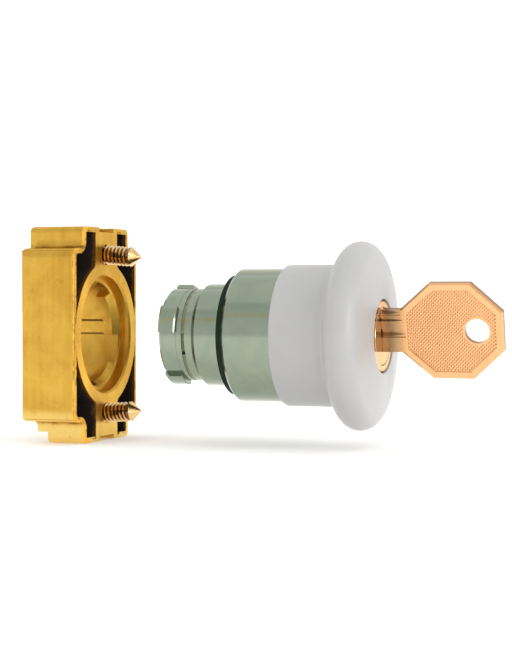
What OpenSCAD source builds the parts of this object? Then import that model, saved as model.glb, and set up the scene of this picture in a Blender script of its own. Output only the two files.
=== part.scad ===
// Key release mushroom pushbutton for a 22 mm panel hole, with its fixing collar taken off behind it.
// +X runs along the button's axis from the panel to the key, +Z is up, and the origin is on the axis
// at the front plane of the panel, where the gasket seats. Millimetres.

/* [Barrel and bezel] */
// Diameter of the barrel where it passes through the panel
barrel_d = 22.2; // [21.6:0.1:22.4]
// Length of that full barrel behind the panel plane
land_len = 5.7; // [5:0.1:7]
// Diameter of the necked stretch behind the land
neck_d = 20.2; // [19.8:0.1:20.4]
// Length of the neck, which the collar's lips turn in
neck_len = 4.6; // [4.4:0.1:6]
// Length of the bayonet lugs at the rear end
lug_len = 4; // [3:0.1:5]
// Diameter over the bayonet lugs
lug_d = 22; // [21.4:0.1:22.2]
// Arc that each lug covers, in degrees
lug_arc = 32; // [20:1:34]
// Angle of the first lug from the -Y side towards +Z
lug_angle = 20; // [10:1:25]
// Bore through the barrel
barrel_bore_d = 17; // [16.8:0.1:17.4]
// Diameter of the bezel in front of the panel
bezel_d = 28.8; // [28:0.1:29]
// Distance from the panel plane to the bezel's front end
bezel_front = 19; // [17:0.1:19.5]
// Bore of the bezel's spring chamber
chamber_d = 24; // [23.6:0.1:24.6]
// Distance from the panel plane to the chamber's floor
chamber_floor = 4; // [3.6:0.1:4.4]
// Size of the small chamfers on the casting's edges
casting_chamfer = 0.5; // [0.2:0.05:0.7]

/* [Gasket] */
// Outside diameter of the panel gasket
gasket_d = 26; // [24.6:0.1:27.5]
// Thickness of the panel gasket
gasket_t = 1.6; // [1:0.1:2.2]
// Depth of the relief turned under the gasket
gasket_relief = 0.3; // [0.2:0.05:0.5]

/* [Collar latch ring] */
// Distance behind the panel plane to the latch ring's slit
slit_x = 8.65; // [8:0.05:9]
// Width of the slit round the neck
slit_w = 0.8; // [0.6:0.05:1.2]
// Depth of the slit
slit_depth = 0.9; // [0.5:0.05:1]
// Gap between the ends of the open wire rings, in degrees
ring_gap = 26; // [10:1:60]

/* [Guide bush] */
// Bore of the bush that guides the plunger
bush_bore_d = 14.4; // [14.3:0.1:14.6]
// Thickness of the bush's flange, which the spring sits on
bush_flange_t = 2; // [1.6:0.1:2.4]
// Outside diameter of that flange
bush_flange_d = 23.4; // [22.6:0.1:23.5]
// Length of the bush behind the panel plane
bush_rear = 12.2; // [11:0.1:12.4]
// Thickness of the flat snap rings
ring_t = 0.9; // [0.6:0.1:1]
// Depth of the snap rings' grooves
ring_bite = 0.5; // [0.3:0.05:0.6]
// Length of the seal's recess in the front end of the bush
seal_len = 1.7; // [1.4:0.1:1.9]
// Radial width of that recess
seal_w = 1; // [0.9:0.1:1.2]

/* [Mushroom] */
// Outside diameter of the cap's skirt
skirt_d = 30.4; // [30.2:0.1:31]
// Bore of the skirt, which slides over the bezel
skirt_bore_d = 29.2; // [29.2:0.1:29.4]
// Distance from the panel plane to the skirt's rear edge
skirt_rear = 12.4; // [11:0.1:13]
// Diameter of the circle through the middle of the rolled rim
rim_circle_d = 33; // [32:0.1:36]
// Radius of the rolled rim
rim_r = 3.6; // [3.4:0.1:4]
// Distance from the panel plane to the middle of the rim
rim_x = 28.4; // [27.5:0.1:29]
// Radius of the domed front
dome_r = 92; // [70:1:140]
// Radius where the skirt runs into the rim
root_fillet_r = 1.5; // [1:0.1:2.5]
// Distance from the panel plane to the inner face of the cap
cap_ceiling = 26.5; // [26:0.1:27]
// Diameter of the hub inside the cap
hub_d = 18.6; // [17.6:0.1:19]
// Distance from the panel plane to the hub's rear end
hub_rear = 13; // [12.5:0.1:16]
// How far the mushroom goes in when it is pushed
push_travel = 6; // [4:0.1:6]

/* [Plunger] */
// Outside diameter of the plunger
plunger_d = 14.2; // [14.1:0.05:14.25]
// Bore of the plunger, which holds the lock
plunger_bore_d = 12.1; // [12:0.05:12.3]
// Distance from the panel plane to the plunger's front end
plunger_front = 29; // [28:0.1:29.4]
// Distance behind the panel plane to the plunger's rear end
plunger_rear = 14; // [13.8:0.1:15]
// Distance from the panel plane to the web that the lock is clamped on
web_x = 10; // [9.6:0.1:11]
// Thickness of that web
web_t = 2; // [1.5:0.1:2.4]
// Distance behind the panel plane to the latch spring
latch_x = 0.4; // [0:0.1:1]
// Width of the latch grooves
latch_w = 1; // [0.8:0.05:1.2]
// Depth of the latch grooves in the plunger
latch_depth = 0.3; // [0.15:0.05:0.4]
// Diameter of the release pins in the plunger's wall
release_pin_d = 1.6; // [1:0.1:1.8]
// Thickness of the pusher's plate at the rear
pusher_t = 1.2; // [1:0.1:3]
// Length of the pusher's cup inside the plunger
pusher_cup_len = 3; // [2:0.1:6]
// Wall of that cup
pusher_wall = 1.2; // [0.8:0.1:2]
// Width of the slots across the pusher's rear face
pusher_slot_w = 1.2; // [0.8:0.1:1.6]

/* [Return spring] */
// Mean diameter of the spring's coil
spring_d = 20.8; // [20.6:0.1:21.4]
// Diameter of the spring's wire
spring_wire_d = 1.2; // [0.8:0.1:1.2]
// Number of turns
spring_turns = 6; // [4:1:7]

/* [Lock] */
// Diameter of the lock's polished face
face_d = 15.4; // [14.8:0.1:15.6]
// Distance from the panel plane to that face
face_x = 33; // [32.6:0.05:33.2]
// Thickness of the face flange
face_t = 2.1; // [1.6:0.1:2.4]
// Diameter of the lock housing in the plunger
housing_d = 12; // [11.6:0.05:12]
// Diameter of the housing's threaded tail
tail_d = 10.4; // [10:0.1:10.6]
// Diameter of the plug that turns
plug_d = 9.6; // [9.2:0.1:9.8]
// Diameter of the plug's rear journal
journal_d = 8; // [7:0.1:8.2]
// Diameter of the plug's face
plug_face_d = 12.4; // [11:0.1:13]
// Distance from the panel plane to the plug's rear end
plug_rear = 6.5; // [6:0.1:7]
// Thickness of the ring nut behind the web
nut_t = 2; // [1.4:0.1:2.2]
// Width of the ring nut's slots
nut_slot_w = 1.4; // [1:0.1:2]
// Thickness of the lock's cam
cam_t = 1.75; // [1.2:0.05:2]
// Radius that the cam's nose reaches
cam_nose_r = 5.5; // [5:0.1:5.6]
// Diameter of the cam's screw
cam_screw_d = 3; // [2:0.1:3.4]
// Number of wafer tumblers in the plug
wafer_count = 5; // [3:1:5]
// Width of each wafer
wafer_w = 5.8; // [5:0.1:6.2]
// Thickness of each wafer
wafer_t = 1; // [0.7:0.1:1.2]
// Distance from the blade's tip to the first wafer
wafer_in = 1.6; // [1.4:0.1:2.4]
// Distance from one wafer to the next
wafer_pitch = 3; // [2.4:0.1:3]

/* [Key] */
// Lean of the key from upright at rest, in degrees, with its top towards -Y
key_lean = 14; // [0:1:20]
// Thickness of the key
key_t = 2.2; // [1.8:0.1:2.4]
// Height of the blade inside the lock
blade_h = 6.6; // [6:0.1:6.8]
// Length of the blade inside the lock
blade_len = 19.6; // [17:0.1:19.8]
// Height of the key's neck in front of the lock
neck_h = 9.1; // [8:0.1:10]
// Height of the key's centre line above the axis
key_rise = 1.4; // [0.5:0.1:1.6]
// Distance from the lock's face to the widening of the bow
bow_start = 4.1; // [3:0.1:6]
// Length of the bow
bow_len = 21.9; // [20:0.1:26]
// Height of the bow
bow_h = 20.6; // [19:0.1:24]
// Height of the bow's outer end
bow_end_h = 8.3; // [6:0.1:10]
// Length of the bow's straight top and bottom edges
bow_flat = 8.7; // [6:0.1:9]
// Width of the bow's raised border
bow_border = 1.1; // [0.8:0.1:1.6]
// Depth of the bow's sunk field on each side
field_depth = 0.25; // [0.1:0.05:0.4]
// Width of the bevel round the bow
bow_bevel = 0.4; // [0.2:0.05:0.6]
// Diameter of the key ring hole
ring_hole_d = 5.2; // [4:0.1:6]
// Distance from the bow's outer end to the middle of that hole
ring_hole_in = 5.6; // [5:0.1:7]

/* [Fixing collar] */
// Distance behind the panel plane to the collar's front face while it is off
collar_x = 31; // [26:0.5:34]
// Width of the collar
collar_w = 33.5; // [33:0.1:36]
// Height of the collar's full-width body
collar_h = 37.8; // [37:0.1:40]
// Height over the tabs
collar_tab_h = 47.4; // [46.6:0.1:50]
// Width of the tabs
tab_w = 23.4; // [22:0.1:25]
// Depth of the collar along the axis
collar_depth = 12.9; // [12:0.1:14]
// Thickness of the collar's outer walls
collar_wall = 1.15; // [1:0.05:1.5]
// Thickness of the collar's rear wall
collar_floor = 1.4; // [1.2:0.1:2]
// Radius of the corners of the collar's body
collar_corner_r = 2.2; // [1.6:0.1:2.6]
// Radius of the corners of its tabs
tab_corner_r = 1.4; // [1.2:0.1:2]
// Radius of the hollow corners between body and tabs
tab_hollow_r = 1.8; // [1:0.1:2]
// Radius of the edges round the collar's front and rear
collar_edge_r = 0.4; // [0.2:0.05:0.6]
// Radius of the body's edges round the rear face
collar_rear_r = 1.2; // [0.6:0.1:1.3]
// Radius of the tabs' edges at the rear
tab_rear_r = 0.6; // [0.3:0.1:1]
// Diameter of the bore where it opens at the front
mouth_d = 26; // [25.4:0.1:26.6]
// Depth of that front bore
mouth_depth = 2; // [1.6:0.1:2.6]
// Wall of the ring round the bore
collar_ring_wall = 3.05; // [2.7:0.05:3.3]
// Thickness of the bayonet lips
lip_t = 3.6; // [3:0.1:4]
// Depth of the sloping lead-in on the lips
lip_lead = 1.4; // [0.8:0.1:1.8]
// Radial clearance of the lips on the neck
lip_clearance = 0.4; // [0.2:0.05:0.5]
// Play of the lugs between the lips, in degrees on each side
lug_play = 2; // [1.5:0.5:4]
// Width of the webs that carry the clamp screws
web_w = 11.5; // [9:0.1:12.5]
// Width of the notch in the outer edge of each web
web_notch_w = 7.6; // [5:0.1:8.5]
// Depth of that notch
web_notch_depth = 1; // [0.5:0.1:1.2]
// Radius where the webs run into the ring
web_hollow_r = 1.5; // [0.8:0.1:2]
// How far the lower tab's first step is cut back from the rear
tab_step_1 = 1.6; // [1:0.1:2.5]
// How far its second step is cut back
tab_step_2 = 4.1; // [3:0.1:5.5]
// Width of the locating rib in the bore
rib_w = 2.8; // [2:0.1:3]

/* [Clamp screws] */
// Diameter of the clamp screws
screw_d = 4.4; // [3.8:0.1:4.6]
// Length of screw in front of the collar's face
screw_out = 8.5; // [6:0.1:9]
// Length of the screw's point
screw_point = 2.2; // [1.6:0.1:2.6]
// Distance from the tab's end to the screw's axis at the front face
screw_in = 6; // [5.5:0.1:6.3]
// Lean of the screws towards the axis, in degrees
screw_lean = 4.5; // [0:0.5:5]
// Diameter of the screw head
screw_head_d = 6; // [5.4:0.1:6.4]
// Height of the screw head
screw_head_h = 2.3; // [1.6:0.1:2.6]

/* [Hidden] */

chrome = [0.62, 0.66, 0.62];
rubber = [0.10, 0.16, 0.13];
black_plastic = [0.16, 0.16, 0.17];
light_grey = [0.80, 0.80, 0.82];
spring_steel = [0.60, 0.60, 0.62];
polished_brass = [0.88, 0.70, 0.48];
yellow_zinc = [0.85, 0.66, 0.24];

// Running gap between round pieces that slide or turn, on the radius
fit = 0.05;
// Gap between pieces that sit in each other without moving, on the radius
seat = 0.03;
// Gap round the key blade
key_gap = 0.15;
// Overlap of a cut past the face that it starts from
past = 1;
$fn = 96;

barrel_r = barrel_d / 2;
neck_r = neck_d / 2;
barrel_bore_r = barrel_bore_d / 2;
neck_rear = land_len + neck_len;
barrel_rear = neck_rear + lug_len;
lug_angles = [for (i = [0:3]) lug_angle + 90 * i];
bush_r = barrel_bore_r - seat;
bush_bore_r = bush_bore_d / 2;
spring_seat = chamber_floor + bush_flange_t;
plunger_r = plunger_d / 2;
stop_from = -bush_rear - ring_t - 2 * fit;
plunger_bore_r = plunger_bore_d / 2;
housing_r = min(housing_d / 2, plunger_bore_r - seat);
tail_r = tail_d / 2;
plug_r = plug_d / 2;
wafer_r = plug_r - 0.3;
journal_r = journal_d / 2;
flange_rear = face_x - face_t;
plug_face_rear = flange_rear + 0.6;
seal_from = spring_seat - seal_len;
cam_screw_r = cam_screw_d / 2;
thread_depth = 3;
journal_front = web_x + web_t + 0.5;
cam_rear = plug_rear - cam_t;
blade_z = key_rise / 7;
key_start = face_x + 0.3;
blade_tip = key_start - blade_len;
bow_x = face_x + bow_start;
bow_end = bow_x + bow_len;
rib_angle = 173;
latch_gap_at = -11;
release_x = push_travel - latch_x;
dome_x = rim_x - sqrt(pow(dome_r - rim_r, 2) - pow(rim_circle_d / 2, 2));
collar_rear = collar_x + collar_depth;
mouth_r = mouth_d / 2;
lip_r = neck_r + lip_clearance;
lug_way_r = lug_d / 2 + 0.6;
screw_r = screw_d / 2;
screw_z = collar_tab_h / 2 - screw_in;
screw_seat = collar_depth - screw_head_h - 0.3;

// Turns a half profile, drawn as [radius, distance along the axis], round the +X axis
module around_x(turn = 360) {
    rotate([0, 90, 0]) rotate_extrude(angle = turn) children();
}

// A tube along +X from one place to another
module tube(r_out, r_in, from, to) {
    around_x() translate([r_in, from]) square([r_out - r_in, to - from]);
}

// A solid round bar along +X
module bar(r, from, to) {
    translate([from, 0, 0]) rotate([0, 90, 0]) cylinder(r = r, h = to - from);
}

// A wedge of the given arc, centred on an angle from the -Y side towards +Z
module sector(angle, arc, r, from, to) {
    translate([from, 0, 0])
        rotate([90 - angle, 0, 0]) rotate([0, 90, 0])
            rotate([0, 0, 180 - arc / 2]) rotate_extrude(angle = arc) square([r, to - from]);
}

// A flat open ring, with its gap at the bottom unless another angle is given
module open_ring(r_out, r_in, from, to, gap, at = -90) {
    difference() {
        tube(r_out, r_in, from, to);
        sector(at, gap, r_out + past, from - past, to + past);
    }
}

// Moves a piece to the key's place, leaning with the lock plug
module leaning() {
    rotate([key_lean, 0, 0]) children();
}

module rounded_rect(w, h, r) {
    square([w - 2 * r, h], center = true);
    square([w, h - 2 * r], center = true);
    for (y = [-1, 1], z = [-1, 1])
        translate([y * (w / 2 - r), z * (h / 2 - r)]) circle(r = r);
}

// Chromed die casting: the bezel in front of the panel, the barrel through it, and the bayonet end
module bezel_barrel() {
    c = casting_chamfer;
    lug_base_r = neck_r + 0.05;
    ring_from = -bush_rear - 2 * seat - ring_t;
    color(chrome) difference() {
        union() {
            around_x() polygon([
                [0, -barrel_rear], [lug_base_r - c, -barrel_rear], [lug_base_r, c - barrel_rear],
                [lug_base_r, -neck_rear], [neck_r, -neck_rear], [neck_r, -land_len - (barrel_r - neck_r)],
                [barrel_r, -land_len], [barrel_r, 0], [barrel_r - gasket_relief, 0],
                [barrel_r - gasket_relief, gasket_t], [bezel_d / 2 - c, gasket_t],
                [bezel_d / 2, gasket_t + c], [bezel_d / 2, bezel_front - c],
                [bezel_d / 2 - c, bezel_front], [0, bezel_front]
            ]);
            for (angle = lug_angles) lug(angle);
        }
        bar(barrel_bore_r, -barrel_rear - past, bezel_front + past);
        bar(chamber_d / 2, chamber_floor, bezel_front + past);
        tube(neck_r + past, neck_r - slit_depth, -slit_x - slit_w / 2, slit_w / 2 - slit_x);
        bar(barrel_bore_r + ring_bite + fit, ring_from - seat, -bush_rear - seat);
    }
}

// One bayonet lug, chamfered where it meets the collar's lips
module lug(angle) {
    c = casting_chamfer;
    intersection() {
        sector(angle, lug_arc, lug_d, -barrel_rear - past, past - neck_rear);
        around_x() polygon([
            [neck_r - 0.5, -barrel_rear], [lug_d / 2 - c, -barrel_rear], [lug_d / 2, c - barrel_rear],
            [lug_d / 2, -neck_rear - c / 2], [lug_d / 2 - c / 2, -neck_rear], [neck_r - 0.5, -neck_rear]
        ]);
    }
}

module panel_gasket() {
    color(rubber) tube(gasket_d / 2, barrel_r - gasket_relief + seat, 0, gasket_t);
}

// Plastic bush that the plunger slides in; its flange carries the return spring
module guide_bush() {
    color(black_plastic) difference() {
        union() {
            bar(bush_r, -bush_rear, chamber_floor + past);
            bar(bush_flange_d / 2, chamber_floor, spring_seat);
        }
        bar(bush_bore_r, -bush_rear - past, spring_seat + past);
        bar(bush_bore_r + seal_w, seal_from, spring_seat + past);
        tube(bush_bore_r + 0.7, 0, -latch_x - latch_w / 2, latch_w / 2 - latch_x);
    }
}

// Snap ring behind the bush, in its groove in the barrel
module bush_ring() {
    rear = -bush_rear - 2 * seat - ring_t;
    color(spring_steel)
        open_ring(barrel_bore_r + ring_bite, barrel_bore_r - ring_bite, rear, rear + ring_t, ring_gap);
}

// Wire ring in the slit round the neck, which clicks under the collar's lips
module collar_latch_ring() {
    half = slit_w / 2 - seat;
    color(polished_brass)
        open_ring(neck_r - 0.1, neck_r - slit_depth + seat, -slit_x - half, half - slit_x, ring_gap, latch_gap_at);
}

// Wire ring in the bush, which snaps into the plunger's grooves and holds the button in
module latch_spring() {
    half = latch_w / 2 - seat;
    color(spring_steel)
        open_ring(bush_bore_r + 0.65, plunger_r + fit, -latch_x - half, half - latch_x, ring_gap);
}

// Rubber ring with a lip, in the front end of the bush
module plunger_seal() {
    outer = bush_bore_r + seal_w - seat;
    lip = plunger_r + fit;
    color(rubber) around_x() polygon([
        [lip + 0.35 * seal_w, seal_from], [outer, seal_from], [outer, spring_seat - 0.06 * seal_len],
        [lip + 0.6 * seal_w, spring_seat - 0.06 * seal_len], [lip, spring_seat - 0.25 * seal_len],
        [lip, spring_seat - 0.5 * seal_len]
    ]);
}

// Moulded mushroom cap: skirt over the bezel, rolled rim, domed front and the hub inside
module mushroom_cap() {
    rim_c = rim_circle_d / 2;
    skirt_r = skirt_d / 2;
    edge = 0.2;
    fillet_c = skirt_r + root_fillet_r;
    fillet_x = rim_x - sqrt(pow(rim_r + root_fillet_r, 2) - pow(fillet_c - rim_c, 2));
    meet_r = rim_c + (fillet_c - rim_c) * rim_r / (rim_r + root_fillet_r);
    dome_meet_r = rim_c * dome_r / (dome_r - rim_r);
    color(light_grey) difference() {
        around_x() union() {
            polygon([
                [0, skirt_rear], [skirt_r - edge, skirt_rear], [skirt_r, skirt_rear + edge],
                [skirt_r, rim_x], [0, rim_x]
            ]);
            translate([rim_c, rim_x]) circle(r = rim_r);
            difference() {
                translate([skirt_r - past, fillet_x]) square([meet_r - skirt_r + past, rim_x - fillet_x]);
                translate([fillet_c, fillet_x]) circle(r = root_fillet_r);
            }
            intersection() {
                translate([0, dome_x]) circle(r = dome_r, $fn = 4 * $fn);
                translate([0, rim_x]) square([dome_meet_r, 2 * rim_r]);
            }
        }
        bar(plunger_r + seat, skirt_rear - past, plunger_front + seat);
        bar(housing_r + seat, skirt_rear - past, face_x + past);
        around_x() polygon([
            [0, flange_rear], [face_d / 2 + 0.15, flange_rear], [face_d / 2 + 0.15, face_x - 0.1],
            [face_d / 2 + 0.5, face_x + past], [0, face_x + past]
        ]);
        tube(skirt_bore_d / 2, hub_d / 2, skirt_rear - past, cap_ceiling);
        bar(skirt_bore_d / 2, skirt_rear - past, hub_rear);
    }
}

// Turned plunger that carries the lock, with its two latch grooves and the web the lock is clamped on
module plunger() {
    color(spring_steel) difference() {
        bar(plunger_r, -plunger_rear, plunger_front);
        bar(plunger_bore_r, -plunger_rear - past, web_x);
        bar(plunger_bore_r, web_x + web_t, plunger_front + past);
        bar(tail_r + seat, web_x - past, web_x + web_t + past);
        for (x = [-latch_x, release_x])
            tube(plunger_r + past, plunger_r - latch_depth, x - latch_w / 2, x + latch_w / 2);
        tube(plunger_r + past, plunger_r - ring_bite, stop_from - seat, stop_from + ring_t + seat);
        for (side = [0, 180])
            rotate([side, 0, 0]) translate([release_x, 0, 0]) cylinder(d = release_pin_d + 2 * fit, h = plunger_d);
    }
}

// Snap ring on the plunger, which stops it against the rear end of the bush
module stop_ring() {
    color(spring_steel)
        open_ring(barrel_bore_r - ring_bite - 4 * fit, plunger_r - ring_bite + seat,
            stop_from, stop_from + ring_t, ring_gap);
}

// Plastic cup in the plunger's rear end, which works the contacts
module pusher() {
    color(black_plastic) difference() {
        union() {
            bar(plunger_r, -plunger_rear - pusher_t, -plunger_rear);
            bar(plunger_bore_r - seat, -plunger_rear - past, pusher_cup_len - plunger_rear);
        }
        bar(plunger_bore_r - pusher_wall, -plunger_rear, pusher_cup_len - plunger_rear + past);
        for (turn = [0, 60, 120])
            rotate([turn, 0, 0]) translate([-plunger_rear - pusher_t, 0, 0])
                cube([pusher_t / 2, pusher_slot_w, plunger_d * 2], center = true);
    }
}

// Two short pins through the plunger's wall, which the cam lifts the latch spring with
module release_pins() {
    color(spring_steel) for (side = [0, 180])
        rotate([side, 0, 0]) translate([release_x, 0, cam_nose_r + 0.2])
            cylinder(d = release_pin_d, h = plunger_r - latch_depth - cam_nose_r - 0.3);
}

// One point of the spring's wire section, for a share of its length and an angle round the wire
function spring_point(share, angle, from, to) =
    let (
        wire_r = spring_wire_d / 2,
        turn = 360 * spring_turns * share,
        closed = 0.75 / spring_turns,
        pitch_share = min(1, max(0, (share - closed) / (1 - 2 * closed))),
        rise = from + wire_r + spring_wire_d * closed * spring_turns * min(1, share / closed)
            + (to - from - spring_wire_d * (1 + 2 * closed * spring_turns)) * pitch_share
            + spring_wire_d * closed * spring_turns * max(0, (share - 1 + closed) / closed),
        r = spring_d / 2 + wire_r * cos(angle)
    ) [rise + wire_r * sin(angle), r * cos(turn), r * sin(turn)];

// Coil spring between the bush's flange and the cap, with closed end turns
module return_spring() {
    sides = 8;
    rings = spring_turns * 24;
    points = [for (i = [0:rings], j = [0:sides - 1])
        spring_point(i / rings, 360 * j / sides, spring_seat + 0.02, cap_ceiling - 0.02)];
    walls = [for (i = [0:rings - 1], j = [0:sides - 1])
        let (k = (j + 1) % sides)
        [i * sides + j, i * sides + k, (i + 1) * sides + k, (i + 1) * sides + j]];
    ends = [[for (j = [sides - 1:-1:0]) j], [for (j = [0:sides - 1]) rings * sides + j]];
    color(spring_steel) polyhedron(points, concat(walls, ends), convexity = 10);
}

// Brass lock housing, whose flange is the polished ring in the mushroom
module lock_housing() {
    edge = 0.35;
    color(polished_brass) difference() {
        around_x() polygon([
            [0, plug_rear + 0.5], [tail_r, plug_rear + 0.5], [tail_r, web_x + web_t],
            [housing_r, web_x + web_t], [housing_r, flange_rear], [face_d / 2, flange_rear],
            [face_d / 2, face_x - edge], [face_d / 2 - edge, face_x], [0, face_x]
        ]);
        bar(journal_r + fit, plug_rear - past, face_x + past);
        bar(plug_r + fit, journal_front - 0.2, face_x + past);
        bar(plug_face_d / 2 + fit, plug_face_rear - fit, face_x + past);
        for (i = [0:wafer_count - 1]) leaning() wafer_way(i, housing_r - plug_r - 0.7);
    }
}

// Slotted ring nut that clamps the housing on the plunger's web
module lock_nut() {
    color(spring_steel) difference() {
        tube(plunger_bore_r - 2 * fit, tail_r + seat, web_x - nut_t, web_x);
        for (turn = [0, 90])
            rotate([turn, 0, 0]) translate([web_x - nut_t, 0, 0])
                cube([0.8 * nut_t, nut_slot_w, plunger_d], center = true);
    }
}

function wafer_x(i) = blade_tip + wafer_in + i * wafer_pitch;

// Space for the wafers in the plug, and above and below it in the housing
module wafer_way(i, reach) {
    translate([wafer_x(i), 0, 0])
        cube([wafer_t + 2 * fit, wafer_w + 2 * fit, 2 * (plug_r + reach)], center = true);
}

// Turning plug with the keyway
module lock_plug() {
    edge = 0.2;
    color(polished_brass) leaning() difference() {
        around_x() polygon([
            [0, plug_rear], [journal_r, plug_rear], [journal_r, journal_front], [plug_r, journal_front],
            [plug_r, plug_face_rear], [plug_face_d / 2, plug_face_rear],
            [plug_face_d / 2, face_x - edge], [plug_face_d / 2 - edge, face_x], [0, face_x]
        ]);
        translate([blade_tip - 0.3, -key_t / 2 - key_gap, blade_z - blade_h / 2 - key_gap])
            cube([blade_len + past, key_t + 2 * key_gap, blade_h + 2 * key_gap]);
        for (i = [0:wafer_count - 1]) intersection() {
            wafer_way(i, 0);
            bar(wafer_r + fit, plug_rear, face_x);
        }
        bar(cam_screw_r, plug_rear - past, plug_rear + thread_depth);
    }
}

// Flat wafers in the plug, each with a window that the blade passes through
module wafer_tumblers() {
    color(polished_brass) leaning() for (i = [0:wafer_count - 1])
        translate([wafer_x(i), 0, 0]) difference() {
            intersection() {
                cube([wafer_t, wafer_w, 2 * plug_d], center = true);
                bar(wafer_r, -wafer_t, wafer_t);
            }
            translate([0, 0, blade_z])
                cube([2 * wafer_t, key_t + 2 * key_gap, blade_h + 2 * key_gap], center = true);
        }
}

// Cam on the plug's rear end, whose nose lifts the release pins
module lock_cam() {
    nose_w = 3.2;
    color(spring_steel) leaning() difference() {
        union() {
            bar(journal_r + 0.4, cam_rear, plug_rear);
            intersection() {
                bar(cam_nose_r, cam_rear, plug_rear);
                translate([cam_rear, 0, -nose_w / 2]) cube([cam_t, cam_nose_r, nose_w]);
            }
        }
        bar(cam_screw_r, cam_rear - past, plug_rear + past);
    }
}

module cam_screw() {
    head_h = cam_screw_r;
    color(spring_steel) leaning() difference() {
        union() {
            bar(1.55 * cam_screw_r, cam_rear - head_h, cam_rear);
            bar(cam_screw_r - seat, cam_rear - head_h / 2, plug_rear + thread_depth - 2 * fit);
        }
        translate([cam_rear - head_h, 0, 0]) cube([head_h, cam_screw_d / 4, 2 * cam_screw_d], center = true);
    }
}

// Outline of the bow, drawn about the key's own centre line
module bow_outline() {
    ramp = (bow_len - bow_flat) / 2;
    polygon([
        [bow_x, -neck_h / 2], [bow_x + ramp, -bow_h / 2], [bow_end - ramp, -bow_h / 2],
        [bow_end, -bow_end_h / 2], [bow_end, bow_end_h / 2], [bow_end - ramp, bow_h / 2],
        [bow_x + ramp, bow_h / 2], [bow_x, neck_h / 2]
    ]);
}

// Extrudes an XZ outline to a thickness, centred on the key's plane
module plate(t) {
    rotate([90, 0, 0]) linear_extrude(t, center = true) children();
}

// Stamped brass key: blade, neck with milled grooves, and the eight-sided bow
module key() {
    color(polished_brass) leaning() difference() {
        union() {
            blade();
            translate([0, 0, key_rise]) {
                translate([key_start, -key_t / 2, -neck_h / 2]) cube([bow_x - key_start + 0.5, key_t, neck_h]);
                hull() {
                    plate(key_t - 2 * bow_bevel) bow_outline();
                    plate(key_t) offset(delta = -bow_bevel) bow_outline();
                }
            }
        }
        translate([0, 0, key_rise]) {
            for (side = [-1, 1])
                translate([0, side * key_t / 2, 0]) {
                    plate(2 * field_depth) offset(delta = -bow_border - bow_bevel) bow_outline();
                    groove(-0.5, 1.8, 0.45, bow_x + 1.2);
                    groove(2.5, 0.4, 0.3, bow_x + 0.5);
                    groove(3.6, 0.4, 0.3, bow_x + 0.2);
                }
            translate([bow_end - ring_hole_in, 0, 0]) rotate([90, 0, 0])
                cylinder(d = ring_hole_d, h = 2 * key_t, center = true);
        }
    }
}

// Blade with its pointed tip and wafer cuts along the lower edge
module blade() {
    low = blade_z - blade_h / 2;
    high = blade_z + blade_h / 2;
    nose = 1.8;
    cuts = [0.9, 0.4, 1.2, 0.6, 1];
    difference() {
        plate(key_t) polygon([
            [blade_tip, low + nose], [blade_tip + nose, low], [key_start + past, low],
            [key_start + past, high], [blade_tip + nose, high], [blade_tip, high - nose]
        ]);
        for (i = [0:wafer_count - 1])
            translate([wafer_x(i), 0, 0]) plate(2 * key_t) polygon([
                [-0.6, low + cuts[i]], [0.6, low + cuts[i]], [1.2, low - past], [-1.2, low - past]
            ]);
    }
}

// One milled groove along the blade and neck, open to the side
module groove(z, h, depth, to) {
    translate([blade_tip + 2, -depth, z - h / 2]) cube([to - blade_tip - 2, 2 * depth, h]);
}

// Die cast collar: open-faced box with tabs, the bayonet ring and two webs for the clamp screws
module fixing_collar() {
    rim = 0.4;
    way_arc = lug_arc + 2 * lug_play;
    lips_front = -collar_x - mouth_depth;
    lips_rear = lips_front - lip_t;
    color(yellow_zinc) difference() {
        union() {
            difference() {
                collar_block();
                collar_hollow();
            }
            intersection() {
                collar_block();
                raise_outline(0) webs();
            }
        }
        bar(lip_r, -collar_rear - past, past - collar_x);
        around_x() polygon([
            [0, lips_front - lip_lead], [lip_r, lips_front - lip_lead], [lip_r + lip_lead, lips_front],
            [mouth_r, lips_front], [mouth_r, -collar_x - rim], [mouth_r + rim + past, past - collar_x],
            [0, past - collar_x]
        ]);
        lug_chamber(lips_rear);
        for (angle = lug_angles) sector(angle, way_arc, lug_way_r - fit, lips_rear - past, -collar_x - past);
        for (side = [-1, 1]) {
            translate([past - collar_x - 2, 0, side * (collar_tab_h / 2)])
                cube([4, web_notch_w, 2 * web_notch_depth], center = true);
            rib_slit(side);
            screw_way(side);
        }
        tab_steps(0);
    }
}

// Outline of the collar's body seen from the front, drawn smaller by an inset for the hollow in it
module body_outline(inset) {
    rounded_rect(collar_w - 2 * inset, collar_h - 2 * inset, collar_corner_r - inset);
}

// Outline of the two tabs, which reach across the body
module tab_outline(inset) {
    rounded_rect(tab_w - 2 * inset, collar_tab_h - 2 * inset, max(0.2, tab_corner_r - inset));
}

// Rounded corners between the tabs and the body
module corner_outline(inset) {
    tab_y = tab_w / 2;
    body_z = collar_h / 2;
    hollow_r = tab_hollow_r + inset;
    for (y = [-1, 1], z = [-1, 1])
        scale([y, z]) difference() {
            translate([tab_y - inset - past, body_z - inset - past]) square(hollow_r + past);
            translate([tab_y + tab_hollow_r, body_z + tab_hollow_r]) circle(r = hollow_r);
        }
}

// Raises an outline from a depth behind the collar's rear face to its front face
module raise_outline(from) {
    translate([from - collar_rear, 0, 0]) rotate([90, 0, 90]) linear_extrude(collar_depth - from) children();
}

// A slab as wide or as high as the collar, with its two rear edges rounded
module rear_rounding(size, r) {
    translate([collar_depth / 2 + r - collar_rear, 0, 0])
        linear_extrude(2 * collar_tab_h, center = true) rounded_rect(collar_depth + 2 * r, size, r);
}

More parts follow.
